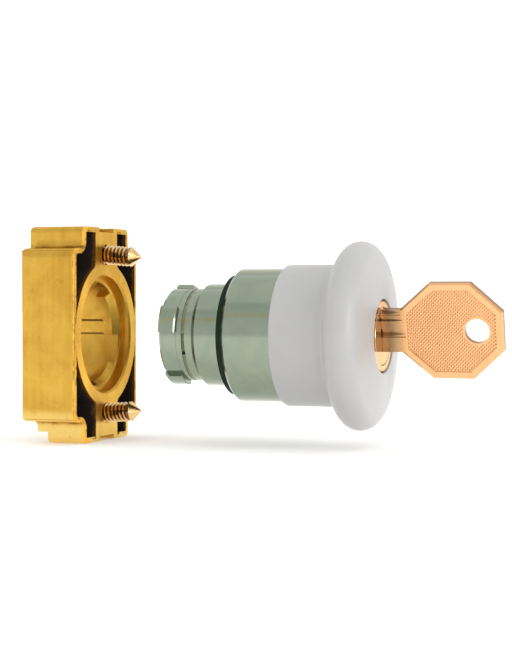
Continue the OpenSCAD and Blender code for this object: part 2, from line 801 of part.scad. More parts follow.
// The collar's outer form, with its edges rounded
module collar_block() {
    intersection() {
        union() {
            intersection() {
                raise_outline(0) body_outline(0);
                rear_rounding(collar_w, collar_rear_r);
                rotate([90, 0, 0]) rear_rounding(collar_h, collar_rear_r);
            }
            intersection() {
                raise_outline(0) tab_outline(0);
                rotate([90, 0, 0]) rear_rounding(collar_tab_h, tab_rear_r);
            }
            raise_outline(collar_rear_r + collar_edge_r) corner_outline(0);
        }
        translate([collar_depth / 2 - collar_rear, 0, 0]) linear_extrude(2 * collar_tab_h, center = true)
            rounded_rect(collar_depth, collar_w, collar_edge_r);
    }
}

// The hollow that opens at the front, with a rear wall that follows the lower tab's steps
module collar_hollow() {
    difference() {
        translate([past, 0, 0]) raise_outline(collar_floor - past) {
            body_outline(collar_wall);
            tab_outline(collar_wall);
            corner_outline(collar_wall);
        }
        tab_steps(collar_floor);
    }
}

// The ring round the bore and the two webs from it to the tabs, seen from the front
module webs() {
    ring_r = mouth_r + collar_ring_wall;
    y = web_w / 2;
    centre_y = y + web_hollow_r;
    centre_z = sqrt(pow(ring_r + web_hollow_r, 2) - pow(centre_y, 2));
    share = ring_r / (ring_r + web_hollow_r);
    circle(r = ring_r);
    square([web_w, collar_tab_h], center = true);
    for (side_y = [-1, 1], side_z = [-1, 1])
        scale([side_y, side_z]) difference() {
            polygon([
                [y - past, centre_z], [centre_y, centre_z], [centre_y * share, centre_z * share],
                [y - past, centre_z * share - past]
            ]);
            translate([centre_y, centre_z]) circle(r = web_hollow_r);
        }
}

// What the lower tab's two steps cut away at the rear, or leave closed when drawn deeper by a wall
module tab_steps(wall) {
    step_h = (collar_tab_h - collar_h) / 4;
    tab_step(collar_h / 2 - wall, tab_step_1 + wall);
    tab_step(collar_h / 2 + step_h - wall, tab_step_2 + wall);
}

// Room behind the lips for the lugs, less the locating rib on the far side
module lug_chamber(from) {
    difference() {
        bar(lug_way_r, -collar_rear - past, from);
        rotate([-rib_angle, 0, 0])
            translate([-collar_rear - 2 * past, -lug_way_r - past, -rib_w / 2])
                cube([collar_depth + 2 * past, past + 0.35, rib_w]);
    }
}

// Narrow slit along one side of the locating rib
module rib_slit(side) {
    slit = 0.35;
    rotate([-rib_angle, 0, 0])
        translate([-collar_rear - past, -lug_way_r - 0.5, side * (rib_w + slit) / 2 - slit / 2])
            cube([collar_depth - mouth_depth - lip_t + past, 1.2, slit]);
}

// Cuts the lower tab back from the rear in steps
module tab_step(below, back) {
    translate([-collar_rear - past, -collar_w / 2, -collar_tab_h / 2 - past])
        cube([back + past, collar_w, collar_tab_h / 2 - below + past]);
}

// Puts a piece on one clamp screw's axis, with 0 at the collar's front face
module on_screw_axis(side) {
    translate([-collar_x, 0, side * screw_z]) rotate([0, side * screw_lean, 0]) children();
}

// Hole and head recess for one clamp screw
module screw_way(side) {
    on_screw_axis(side) {
        bar(screw_r + 0.1, -collar_depth - 2 * past, 2 * past);
        bar(screw_head_d / 2 + 0.25, -collar_depth - 2 * past, -screw_seat);
    }
}

// Clamp screw with a pointed end and a slotted head
module clamp_screw(side) {
    head_rear = -screw_seat - screw_head_h;
    color(polished_brass) on_screw_axis(side) difference() {
        around_x() polygon([
            [0, head_rear], [screw_head_d / 2 - 0.3, head_rear], [screw_head_d / 2, head_rear + 0.3],
            [screw_head_d / 2, -screw_seat], [screw_r, -screw_seat], [screw_r, screw_out - screw_point],
            [0, screw_out]
        ]);
        translate([head_rear, 0, 0]) cube([2, 1, screw_head_d * 2], center = true);
    }
}

module clamp_screw_top() {
    clamp_screw(1);
}

module clamp_screw_bottom() {
    clamp_screw(-1);
}

bezel_barrel();
panel_gasket();
guide_bush();
bush_ring();
collar_latch_ring();
latch_spring();
plunger_seal();
mushroom_cap();
plunger();
return_spring();
stop_ring();
pusher();
release_pins();
lock_housing();
lock_nut();
lock_plug();
wafer_tumblers();
lock_cam();
cam_screw();
key();
fixing_collar();
clamp_screw_top();
clamp_screw_bottom();
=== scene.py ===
import math

import bpy
from mathutils import Matrix, Vector


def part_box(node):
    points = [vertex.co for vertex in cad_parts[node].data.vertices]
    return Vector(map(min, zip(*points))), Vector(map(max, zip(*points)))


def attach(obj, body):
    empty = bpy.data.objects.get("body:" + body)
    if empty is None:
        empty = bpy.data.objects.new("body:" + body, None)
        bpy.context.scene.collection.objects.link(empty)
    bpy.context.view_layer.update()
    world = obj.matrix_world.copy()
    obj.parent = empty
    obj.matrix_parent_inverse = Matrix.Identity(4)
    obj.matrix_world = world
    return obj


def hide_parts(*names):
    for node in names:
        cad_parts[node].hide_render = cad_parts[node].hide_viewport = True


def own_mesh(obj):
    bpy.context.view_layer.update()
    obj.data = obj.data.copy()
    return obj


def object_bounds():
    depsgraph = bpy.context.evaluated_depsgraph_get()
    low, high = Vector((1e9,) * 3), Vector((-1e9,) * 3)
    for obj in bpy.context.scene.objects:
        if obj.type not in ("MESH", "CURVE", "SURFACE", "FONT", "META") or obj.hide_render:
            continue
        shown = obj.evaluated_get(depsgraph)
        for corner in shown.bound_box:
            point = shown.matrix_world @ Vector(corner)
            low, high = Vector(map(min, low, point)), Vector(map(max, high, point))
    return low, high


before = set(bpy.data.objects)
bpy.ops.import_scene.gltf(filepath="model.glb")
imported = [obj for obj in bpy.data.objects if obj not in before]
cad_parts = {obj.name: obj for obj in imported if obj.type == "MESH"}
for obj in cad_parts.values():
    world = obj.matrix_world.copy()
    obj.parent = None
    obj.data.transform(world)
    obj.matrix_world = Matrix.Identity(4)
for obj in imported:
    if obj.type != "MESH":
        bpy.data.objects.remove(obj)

cad_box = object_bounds()

# ---- Camera, floor and light ----
# The button lies on its side over a pale table, with its taken-off collar standing behind it. The
# camera looks at the barrel's side from a little towards the key.
look_at = Vector((0.0045, 0, 0.0009))
away = 0.369
side, rise = math.radians(19.5), math.radians(1.2)
back = Vector((math.sin(side) * math.cos(rise), -math.cos(side) * math.cos(rise), math.sin(rise)))
camera = bpy.data.objects.new("camera", bpy.data.cameras.new("camera"))
bpy.context.scene.collection.objects.link(camera)
camera.data.lens = 92.45
camera.data.sensor_width = 36
camera.data.clip_start = 0.01
camera.location = look_at + back * away
camera.rotation_euler = (-back).to_track_quat("-Z", "Y").to_euler()
bpy.context.scene.camera = camera
bpy.context.scene.view_settings.view_transform = "Standard"


def node(tree, kind, settings=None, **inputs):
    """Adds a shader node, with its settings and the values of its inputs."""
    made = tree.nodes.new("ShaderNode" + kind)
    for name, value in (settings or {}).items():
        setattr(made, name, value)
    for name, value in inputs.items():
        made.inputs[name.replace("_", " ")].default_value = value
    return made


def math_node(tree, operation, a, b=0.0, c=0.0, clamp=False):
    """Adds one sum of a shader, from numbers or from other nodes' outputs, and returns its result."""
    made = node(tree, "Math", {"operation": operation, "use_clamp": clamp})
    for place, value in enumerate((a, b, c)):
        if isinstance(value, bpy.types.NodeSocket):
            tree.links.new(value, made.inputs[place])
        else:
            made.inputs[place].default_value = value
    return made.outputs[0]


floor_gap, floor_radius = 0.0001, 3
bpy.ops.mesh.primitive_circle_add(vertices=96, radius=floor_radius, fill_type="NGON",
    location=(0, 0, cad_box[0].z - floor_gap))
floor = bpy.context.object
floor.name = "floor"
paper = bpy.data.materials.new("white_paper")
paper.use_nodes = True
tree = paper.node_tree
tree.nodes.clear()
matt = node(tree, "BsdfDiffuse", Color=(0.94, 0.94, 0.94, 1))
glow = node(tree, "Emission", Color=(1, 1, 1, 1))
paper_light = node(tree, "AddShader")
output = node(tree, "OutputMaterial")
tree.links.new(matt.outputs[0], paper_light.inputs[0])
tree.links.new(glow.outputs[0], paper_light.inputs[1])
tree.links.new(paper_light.outputs[0], output.inputs["Surface"])

# The floor turns white away from the object. Metal mirrors it duller, and it lights matt pieces a little.
mirror_level, matt_level = 0.54, 0.1
where = node(tree, "TexCoord")
distance = node(tree, "VectorMath", {"operation": "LENGTH"})
fade = node(tree, "MapRange", From_Min=0.07, From_Max=0.45, To_Min=0.16, To_Max=0.7)
tree.links.new(where.outputs["Object"], distance.inputs[0])
tree.links.new(distance.outputs["Value"], fade.inputs["Value"])
path = node(tree, "LightPath")
seen = math_node(tree, "MULTIPLY", path.outputs["Is Camera Ray"], fade.outputs["Result"])
mirrored = math_node(tree, "MAXIMUM", path.outputs["Is Glossy Ray"], path.outputs["Is Transmission Ray"])
unseen = math_node(tree, "MAXIMUM", math_node(tree, "MULTIPLY", mirrored, mirror_level),
    math_node(tree, "MULTIPLY", path.outputs["Is Diffuse Ray"], matt_level))
tree.links.new(math_node(tree, "MAXIMUM", seen, unseen), glow.inputs["Strength"])
floor.data.materials.append(paper)

# The room is white low down and grey overhead, with a warm band between, which the chrome mirrors
room = bpy.data.worlds.new("pale_room")
bpy.context.scene.world = room
room.use_nodes = True
tree = room.node_tree
where = node(tree, "TexCoord")
split = node(tree, "SeparateXYZ")
shade = node(tree, "ValToRGB")
stops = shade.color_ramp.elements
stops[0].position, stops[0].color = 0.22, (1, 1, 1, 1)
stops[1].position, stops[1].color = 0.9, (0.75, 0.75, 0.75, 1)
pale, warm, bluish = (0.90, 0.90, 0.90, 1), (0.95, 0.82, 0.55, 1), (0.85, 0.88, 0.9, 1)
for height, colour in ((0.50, pale), (0.52, warm), (0.58, warm), (0.60, bluish)):
    stops.new(height).color = colour
tree.nodes["Background"].inputs["Strength"].default_value = 1.2
tree.links.new(where.outputs["Generated"], split.inputs[0])
tree.links.new(split.outputs["Z"], shade.inputs["Fac"])
tree.links.new(shade.outputs["Color"], tree.nodes["Background"].inputs["Color"])


def lamp(name, azimuth, height, distance, size, power):
    """Adds an area lamp that looks at the object, as wide and tall as its size says."""
    a, h = math.radians(azimuth), math.radians(height)
    out = Vector((math.sin(a) * math.cos(h), -math.cos(a) * math.cos(h), math.sin(h)))
    light = bpy.data.lights.new(name, "AREA")
    light.shape = "RECTANGLE"
    light.size, light.size_y = size
    light.energy = power
    placed = bpy.data.objects.new(name, light)
    bpy.context.scene.collection.objects.link(placed)
    placed.location = lit_spot + out * distance
    placed.rotation_euler = (-out).to_track_quat("-Z", "Y").to_euler()


lit_spot = Vector((0.01, 0, 0))
lamp("strip_right", azimuth=72, height=8, distance=0.6, size=(0.09, 0.36), power=1.0)
lamp("soft_top", azimuth=20, height=98, distance=1.2, size=(1.6, 1.6), power=2.7)


# ---- Barrel and bezel ----
# One zinc die casting, ground and chromed: the bezel in front of the panel, the barrel through it
# and four bayonet lugs. Its grinding left fine rings, and the chrome is a little hazy.
def group(name, result, **values):
    """Starts a shader node group with the named values as inputs, and returns its tree and ends."""
    made = bpy.data.node_groups.new(name, "ShaderNodeTree")
    for label, value in values.items():
        socket = made.interface.new_socket(label.replace("_", " "), in_out="INPUT",
            socket_type="NodeSocketFloat")
        socket.default_value = value
    made.interface.new_socket(result, in_out="OUTPUT", socket_type="NodeSocketFloat")
    return made, made.nodes.new("NodeGroupInput").outputs, made.nodes.new("NodeGroupOutput").inputs


def off_axis(tree, a, b):
    """The distance from an axis, worked out from the two coordinates across it."""
    return math_node(tree, "SQRT", math_node(tree, "ADD", math_node(tree, "MULTIPLY", a, a),
        math_node(tree, "MULTIPLY", b, b)))


# Rings left by a lathe or grinder round the +X axis: dark and light by place, and a height for bump
turned, given, result = group("turned_rings", "Rings", Rings_per_metre=4000.0, Waviness=0.3)
where = node(turned, "TexCoord")
split = node(turned, "SeparateXYZ")
turned.links.new(where.outputs["Object"], split.inputs[0])
radius = off_axis(turned, split.outputs["Y"], split.outputs["Z"])
along = math_node(turned, "ADD", split.outputs["X"], radius)
wobble = node(turned, "TexNoise", Scale=90.0, Detail=2.0)
turned.links.new(where.outputs["Object"], wobble.inputs["Vector"])
millimetre = 0.001
bent = math_node(turned, "MULTIPLY_ADD", wobble.outputs["Fac"],
    math_node(turned, "MULTIPLY", given["Waviness"], millimetre), along)
rings = node(turned, "TexNoise", {"noise_dimensions": "1D"}, Scale=1.0, Detail=5.0, Roughness=0.7)
turned.links.new(math_node(turned, "MULTIPLY", bent, given["Rings per metre"]), rings.inputs["W"])
turned.links.new(rings.outputs["Fac"], result["Rings"])

# Cloudy marks from handling and cleaning
smudges, given, result = group("smudges", "Marks", Size=0.006, Contrast=1.0)
where = node(smudges, "TexCoord")
cloud = node(smudges, "TexNoise", Detail=6.0, Roughness=0.62, Distortion=0.8)
smudges.links.new(where.outputs["Object"], cloud.inputs["Vector"])
smudges.links.new(math_node(smudges, "DIVIDE", 1.0, given["Size"]), cloud.inputs["Scale"])
spread = math_node(smudges, "MULTIPLY", math_node(smudges, "SUBTRACT", cloud.outputs["Fac"], 0.5),
    given["Contrast"])
smudges.links.new(math_node(smudges, "ADD", spread, 0.5, clamp=True), result["Marks"])


def use(tree, made, **inputs):
    """Places a node group in a material, and returns its result."""
    placed = tree.nodes.new("ShaderNodeGroup")
    placed.node_tree = made
    for name, value in inputs.items():
        placed.inputs[name.replace("_", " ")].default_value = value
    return placed.outputs[0]


def finish(name, **values):
    """Starts a material from the values of its Principled shader."""
    made = bpy.data.materials.new(name)
    made.use_nodes = True
    shader = made.node_tree.nodes["Principled BSDF"]
    for label, value in values.items():
        shader.inputs[label.replace("_", " ")].default_value = value
    return made, made.node_tree, shader


def blend(tree, first, first_share, second, second_share):
    """Adds two masks up by their shares."""
    return math_node(tree, "ADD", math_node(tree, "MULTIPLY", first, first_share),
        math_node(tree, "MULTIPLY", second, second_share))


def between(tree, mask, low, high, socket):
    """Lets a mask choose between two values and feeds them to a socket."""
    ranged = node(tree, "MapRange", To_Min=low, To_Max=high)
    tree.links.new(mask, ranged.inputs["Value"])
    tree.links.new(ranged.outputs["Result"], socket)


def tint(tree, mask, dark, light, socket=None, low=0.0, high=1.0):
    """Lets a mask choose between two colours, and returns the result."""
    ramp = node(tree, "ValToRGB")
    for stop, position, colour in zip(ramp.color_ramp.elements, (low, high), (dark, light)):
        stop.position = position
        stop.color = (*colour, 1)
    tree.links.new(mask, ramp.inputs["Fac"])
    if socket:
        tree.links.new(ramp.outputs["Color"], socket)
    return ramp.outputs["Color"]


def raised(tree, height, depth, shader):
    """Turns a height into the shader's normal; the depth is in metres."""
    bump = node(tree, "Bump", Strength=1.0, Distance=depth)
    tree.links.new(height, bump.inputs["Height"])
    tree.links.new(bump.outputs["Normal"], shader.inputs["Normal"])


def dress(material, *names):
    """Gives CAD nodes a material in place of their plain one."""
    for name in names:
        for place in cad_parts[name].material_slots:
            place.material = material


chrome, tree, shader = finish("hazy_chrome", Metallic=1.0, IOR=2.2)
rings = use(tree, turned, Rings_per_metre=5200.0, Waviness=0.25)
marks = use(tree, smudges, Size=0.007, Contrast=1.6)
haze = blend(tree, rings, 0.45, marks, 0.55)
tint(tree, haze, (0.20, 0.245, 0.19), (0.265, 0.305, 0.23), shader.inputs["Base Color"], 0.25, 0.75)
between(tree, haze, 0.09, 0.22, shader.inputs["Roughness"])
raised(tree, rings, 0.000004, shader)
dress(chrome, "bezel_barrel")

# ---- Panel gasket and plunger seal ----
# Moulded rings of dark green rubber. The flat gasket lies between the bezel and the panel, and the
# lipped seal in the front end of the bush wipes the plunger.
rubber, tree, shader = finish("dark_green_rubber", Specular_IOR_Level=0.15)
grain = use(tree, smudges, Size=0.0004, Contrast=1.2)
tint(tree, grain, (0.003, 0.012, 0.006), (0.008, 0.026, 0.013), shader.inputs["Base Color"])
between(tree, grain, 0.6, 0.8, shader.inputs["Roughness"])
raised(tree, grain, 0.00002, shader)
dress(rubber, "panel_gasket", "plunger_seal")

# ---- Guide bush and pusher ----
# Black nylon mouldings. The bush guides the plunger and is kept in the barrel by a snap ring, and
# the pusher is the cup in the plunger's rear end that works the contacts.
nylon, tree, shader = finish("black_nylon", Specular_IOR_Level=0.45)
grain = use(tree, smudges, Size=0.0007, Contrast=1.0)
tint(tree, grain, (0.012, 0.012, 0.013), (0.03, 0.03, 0.031), shader.inputs["Base Color"])
between(tree, grain, 0.35, 0.55, shader.inputs["Roughness"])
raised(tree, grain, 0.000015, shader)
dress(nylon, "guide_bush", "pusher")

# ---- Turned steel and wire rings ----
# The plunger, nut, cam and pins are turned from bright steel. The snap rings are drawn spring wire,
# and the ring in the neck's slit is yellow plated and dull.
steel, tree, shader = finish("turned_steel", Metallic=1.0)
rings = use(tree, turned, Rings_per_metre=7000.0, Waviness=0.1)
marks = use(tree, smudges, Size=0.003, Contrast=1.5)
tint(tree, marks, (0.34, 0.34, 0.335), (0.52, 0.515, 0.50), shader.inputs["Base Color"])
between(tree, rings, 0.2, 0.42, shader.inputs["Roughness"])
raised(tree, rings, 0.000006, shader)
dress(steel, "plunger", "lock_nut", "lock_cam", "cam_screw", "release_pins")

spring_wire, tree, shader = finish("spring_wire", Metallic=1.0)
marks = use(tree, smudges, Size=0.0016, Contrast=1.8)
tint(tree, marks, (0.22, 0.215, 0.21), (0.42, 0.41, 0.39), shader.inputs["Base Color"])
between(tree, marks, 0.24, 0.4, shader.inputs["Roughness"])
raised(tree, marks, 0.000008, shader)
dress(spring_wire, "bush_ring", "latch_spring", "stop_ring")

ring_wire, tree, shader = finish("plated_ring_wire", Metallic=1.0)
marks = use(tree, smudges, Size=0.002, Contrast=2.2)
tint(tree, marks, (0.09, 0.095, 0.06), (0.25, 0.25, 0.165), shader.inputs["Base Color"])
between(tree, marks, 0.18, 0.4, shader.inputs["Roughness"])
dress(ring_wire, "collar_latch_ring")


# ---- Return spring ----
# Drawn spring steel, wound with closed end turns. It stands on the bush's flange inside the bezel,
# pushes the cap out, and moves whole with the cap; nothing presses it together as the button goes in.
def close_ends(sides):
    """Fills the open ends of the active piece and turns all its faces outward."""
    bpy.ops.object.mode_set(mode="EDIT")
    bpy.ops.mesh.select_all(action="SELECT")
    bpy.ops.mesh.fill_holes(sides=sides)
    bpy.ops.mesh.select_all(action="SELECT")
    bpy.ops.mesh.normals_make_consistent(inside=False)
    bpy.ops.object.mode_set(mode="OBJECT")


spring_seat, spring_top = (corner.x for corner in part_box("return_spring"))
wire_r, coil_r, turns, closed_turns, push_depth = 0.0006, 0.0104, 6, 0.75, 0.006
wire_sides, steps_a_turn = 14, 40
bpy.ops.object.select_all(action="DESELECT")
bpy.ops.mesh.primitive_circle_add(vertices=wire_sides, radius=wire_r,
    location=(spring_seat + wire_r, coil_r, 0))
coil = bpy.context.object
bpy.ops.object.transform_apply(location=True)
winding = coil.modifiers.new("winding", "SCREW")
winding.axis = "X"
winding.angle = math.radians(360 * turns)
winding.steps = winding.render_steps = turns * steps_a_turn
winding.use_merge_vertices = False
bpy.ops.object.modifier_apply(modifier="winding")
open_length = spring_top - spring_seat - 2 * wire_r * (1 + 2 * closed_turns)
for point in coil.data.vertices:
    turn = point.index // wire_sides / steps_a_turn
    opened = min(1, max(0, (turn - closed_turns) / (turns - 2 * closed_turns)))
    closed = min(turn, closed_turns) + max(0, turn - turns + closed_turns)
    point.co.x += open_length * opened + 2 * wire_r * closed
close_ends(wire_sides)
bpy.ops.object.shade_smooth_by_angle(angle=math.radians(40))
coil.name = coil.data.name = "wound_return_spring"
coil.data.materials.append(spring_wire)
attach(coil, "mushroom")
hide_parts("return_spring")
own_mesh(coil)

# ---- Mushroom cap ----
# One light grey moulding with a satin gloss, which has a very fine grain from its mould. It sits on
# the plunger by its hub, and its skirt slides over the bezel.
plastic, tree, shader = finish("light_grey_moulding", Specular_IOR_Level=0.5)
grain = use(tree, smudges, Size=0.00035, Contrast=1.0)
marks = use(tree, smudges, Size=0.012, Contrast=1.2)
speck = blend(tree, grain, 0.4, marks, 0.6)
tint(tree, speck, (0.41, 0.41, 0.413), (0.465, 0.465, 0.468), shader.inputs["Base Color"], 0.2, 0.8)
between(tree, speck, 0.30, 0.42, shader.inputs["Roughness"])
raised(tree, grain, 0.000010, shader)
dress(plastic, "mushroom_cap")

# ---- Lock ----
# Brass housing, plug and wafers, gilt and polished on the face that shows in the mushroom. The
# housing stands in the plunger, where its ring nut clamps it.
gilt, tree, shader = finish("polished_gilt", Metallic=1.0, Specular_Tint=(1.0, 0.84, 0.7, 1))
rings = use(tree, turned, Rings_per_metre=9000.0, Waviness=0.05)
marks = use(tree, smudges, Size=0.004, Contrast=1.5)
tint(tree, marks, (0.59, 0.375, 0.195), (0.70, 0.465, 0.27), shader.inputs["Base Color"])
between(tree, rings, 0.06, 0.16, shader.inputs["Roughness"])
raised(tree, rings, 0.0000015, shader)
dress(gilt, "lock_housing", "lock_plug", "wafer_tumblers")


# ---- Key ----
# Stamped and gilt brass. The sunk fields of the bow are knurled and its border is polished. The neck and
# its end by the lock carry painted shade and painted dark reflection, darkest in its grooves, and the stamped
# edge is painted dark.
def axes_in_mm(tree, lean=0.0):
    """Returns a place's x, y and z in millimetres, with a lean about X taken back."""
    where = node(tree, "TexCoord")
    upright = node(tree, "Mapping", Rotation=(-lean, 0, 0), Scale=(1000, 1000, 1000))
    split = node(tree, "SeparateXYZ")
    tree.links.new(where.outputs["Object"], upright.inputs["Vector"])
    tree.links.new(upright.outputs["Vector"], split.inputs[0])
    return [split.outputs[axis] for axis in "XYZ"]


def past(tree, value, limit, width=0.1):
    """1 where a value is over the limit, 0 below it, with a short ramp between."""
    ramp = node(tree, "MapRange", From_Min=limit - width / 2, From_Max=limit + width / 2)
    tree.links.new(value, ramp.inputs["Value"])
    return ramp.outputs["Result"]


def opposite(tree, mask):
    """1 where a mask is 0, and 0 where it is 1."""
    return math_node(tree, "SUBTRACT", 1.0, mask)


def under(tree, value, limit, width=0.1):
    """1 where a value is under the limit, 0 above it, with a short ramp between."""
    return opposite(tree, past(tree, value, limit, width))


def all_of(tree, first, *others):
    """1 only where all the masks are 1."""
    for other in others:
        first = math_node(tree, "MULTIPLY", first, other)
    return first


def any_of(tree, first, *others):
    """1 where any of the masks is 1."""
    for other in others:
        first = math_node(tree, "MAXIMUM", first, other)
    return first


def coloured(tree, before, mask, colour, strength=1.0):
    """Lays a plain colour over another where a mask says, and returns the result."""
    mix = node(tree, "Mix", {"data_type": "RGBA"})
    mix.inputs["B"].default_value = (*colour, 1)
    tree.links.new(before, mix.inputs["A"])
    tree.links.new(math_node(tree, "MULTIPLY", mask, strength), mix.inputs["Factor"])
    return mix.outputs["Result"]


def tapering_groove(tree, along, across, middle, half, start, end):
    """1 inside a groove of the neck that runs out to a point, 0 beside it."""
    past_point, soft_edge = -0.08, 0.14
    width = node(tree, "MapRange", From_Min=start, From_Max=end, To_Min=half, To_Max=past_point)
    tree.links.new(along, width.inputs["Value"])
    off_middle = math_node(tree, "ABSOLUTE", math_node(tree, "SUBTRACT", across, middle))
    return past(tree, math_node(tree, "SUBTRACT", width.outputs["Result"], off_middle), 0.0, soft_edge)


key_lean = math.radians(14)
key_metal, tree, shader = finish("gilt_key", Metallic=1.0)
marks = use(tree, smudges, Size=0.003, Contrast=1.6)
x, y, z = axes_in_mm(tree, key_lean)
shaded_end, neck_end, field_start, neck_middle, neck_side, face_y = 36.1, 37.9, 39.3, 1.4, 4.4, 0.70
off_neck = math_node(tree, "ABSOLUTE", math_node(tree, "SUBTRACT", z, neck_middle))
inside_neck = all_of(tree, under(tree, x, field_start), under(tree, off_neck, neck_side))
off_faces = math_node(tree, "ABSOLUTE", y)
# Painted dark reflection: the band along the stamped edge and the ring hole is painted dark
dark_reflection_edge = all_of(tree, under(tree, off_faces, face_y, 0.06), opposite(tree, inside_neck))
low_groove = tapering_groove(tree, x, z, middle=0.7, half=0.46, start=35.2, end=38.9)
mid_groove = tapering_groove(tree, x, z, middle=3.75, half=0.24, start=35.6, end=38.2)
top_groove = tapering_groove(tree, x, z, middle=5.5, half=0.42, start=35.0, end=37.6)
grooves = any_of(tree, low_groove, mid_groove, top_groove)
gold = tint(tree, marks, (0.66, 0.355, 0.16), (0.74, 0.43, 0.215))
# Painted shade and painted dark reflection: the neck, the end by the lock and the grooves are painted darker
gold = coloured(tree, gold, under(tree, x, neck_end, 1.6), (0.36, 0.205, 0.085), 0.6)
gold = coloured(tree, gold, under(tree, x, shaded_end, 1.4), (0.36, 0.27, 0.165), 0.8)
gold = coloured(tree, gold, grooves, (0.15, 0.085, 0.04), 0.85)
gold = coloured(tree, gold, dark_reflection_edge, (0.26, 0.13, 0.05), 0.85)
tree.links.new(gold, shader.inputs["Base Color"])
rough = node(tree, "MapRange", To_Min=0.14, To_Max=0.27)
tree.links.new(marks, rough.inputs["Value"])
tree.links.new(math_node(tree, "MULTIPLY_ADD", dark_reflection_edge, 0.12, rough.outputs["Result"]),
    shader.inputs["Roughness"])
raised(tree, use(tree, smudges, Size=0.0003, Contrast=1.2), 0.000003, shader)
dress(key_metal, "key")


def pick(piece, kind, test):
    """Selects the faces or vertices of a piece in edit mode that pass a test."""
    bpy.ops.object.mode_set(mode="OBJECT")
    for part in (piece.data.vertices, piece.data.edges, piece.data.polygons):
        part.foreach_set("select", [False] * len(part))
    for part in {"VERT": piece.data.vertices, "FACE": piece.data.polygons}[kind]:
        part.select = test(part)
    bpy.ops.object.mode_set(mode="EDIT")
    bpy.ops.mesh.select_mode(type=kind)


bow_start, bow_end, bow_half, end_half, neck_half, flat = 0.0371, 0.0590, 0.0103, 0.00415, 0.00455, 0.0087
key_rise, field_face, border, hole_from_end, hole_clear = 0.0014, 0.00086, 0.0016, 0.0056, 0.0029
knurl_pitch, knurl_height, knurl_base, knurl_rows = 0.00054, 0.00016, 0.0001, 58
ramp = (bow_end - bow_start - flat) / 2
bow = [(bow_start, -neck_half), (bow_start + ramp, -bow_half), (bow_end - ramp, -bow_half),
       (bow_end, -end_half), (bow_end, end_half), (bow_end - ramp, bow_half),
       (bow_start + ramp, bow_half), (bow_start, neck_half)]
ring_hole = Vector((bow_end - hole_from_end, 0, 0))
for side_name, facing in (("near", 0), ("far", 180)):
    bpy.ops.object.select_all(action="DESELECT")
    bpy.ops.mesh.primitive_grid_add(x_subdivisions=2 * knurl_rows, y_subdivisions=2 * knurl_rows,
        size=knurl_rows * knurl_pitch, rotation=(math.radians(90), 0, 0))
    knurl = bpy.context.object
    step = knurl_pitch / 2
    for point in knurl.data.vertices:
        if round(point.co.x / step) % 2 and round(point.co.y / step) % 2:
            point.co.z += knurl_height
    knurl.data.transform(Matrix.Rotation(math.radians(45), 4, "Z"))
    knurl.data.transform(Matrix.Translation((0, 0, field_face)))
    bpy.ops.object.transform_apply(location=True, rotation=True)
    knurl.data.transform(Matrix.Translation(((bow_start + bow_end) / 2, 0, 0)))
    bpy.ops.object.mode_set(mode="EDIT")
    for (x0, z0), (x1, z1) in zip(bow, bow[1:] + bow[:1]):
        outward = Vector((z1 - z0, 0, x0 - x1)).normalized()
        bpy.ops.mesh.select_all(action="SELECT")
        bpy.ops.mesh.bisect(plane_co=Vector((x0, 0, z0)) - outward * border, plane_no=outward,
            clear_outer=True, threshold=1e-7)
    pick(knurl, "VERT", lambda v: (Vector((v.co.x, 0, v.co.z)) - ring_hole).length < hole_clear)
    bpy.ops.mesh.delete(type="VERT")
    bpy.ops.mesh.select_all(action="SELECT")
    bpy.ops.mesh.extrude_region_move(TRANSFORM_OT_translate={"value": (0, knurl_base, 0)})
    bpy.ops.transform.resize(value=(1, 0, 1))
    bpy.ops.mesh.select_all(action="SELECT")
    bpy.ops.mesh.normals_make_consistent(inside=False)
    bpy.ops.object.mode_set(mode="OBJECT")
    knurl.data.transform(Matrix.Rotation(key_lean, 4, "X") @ Matrix.Translation((0, 0, key_rise))
        @ Matrix.Rotation(math.radians(facing), 4, "X"))
    knurl.name = knurl.data.name = "key_knurl_" + side_name
    knurl.data.materials.append(key_metal)
    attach(knurl, "key")


# ---- Fixing collar ----
# A zinc die casting, passivated yellow, with brown stains in spots. Its pockets are painted nearly black
# as painted shade with a brown fringe, the corners carry painted shade, and its foot and the near rim a
# painted highlight.
def near(tree, value, limit, reach):
    """1 at a limit, falling to 0 at a reach from it."""
    ramp = node(tree, "MapRange", From_Min=0.0, From_Max=reach, To_Min=1.0, To_Max=0.0)
    off_limit = math_node(tree, "ABSOLUTE", math_node(tree, "SUBTRACT", value, limit))
    tree.links.new(off_limit, ramp.inputs["Value"])
    return ramp.outputs["Result"]


def stirred(tree, value, marks, amount=0.9):
    """Moves a value up and down by marks that run from 0 to 1."""
    return math_node(tree, "MULTIPLY_ADD", math_node(tree, "SUBTRACT", marks, 0.5), amount, value)


casting, tree, shader = finish("yellow_casting", Metallic=1.0, Specular_Tint=(1.0, 0.86, 0.62, 1))
x, y, z = axes_in_mm(tree)
off_y, off_z = (math_node(tree, "ABSOLUTE", value) for value in (y, z))
radius = off_axis(tree, y, z)
blotch = use(tree, smudges, Size=0.0022, Contrast=2.4)
streak = use(tree, smudges, Size=0.009, Contrast=2.0)
grit = use(tree, smudges, Size=0.0005, Contrast=1.6)

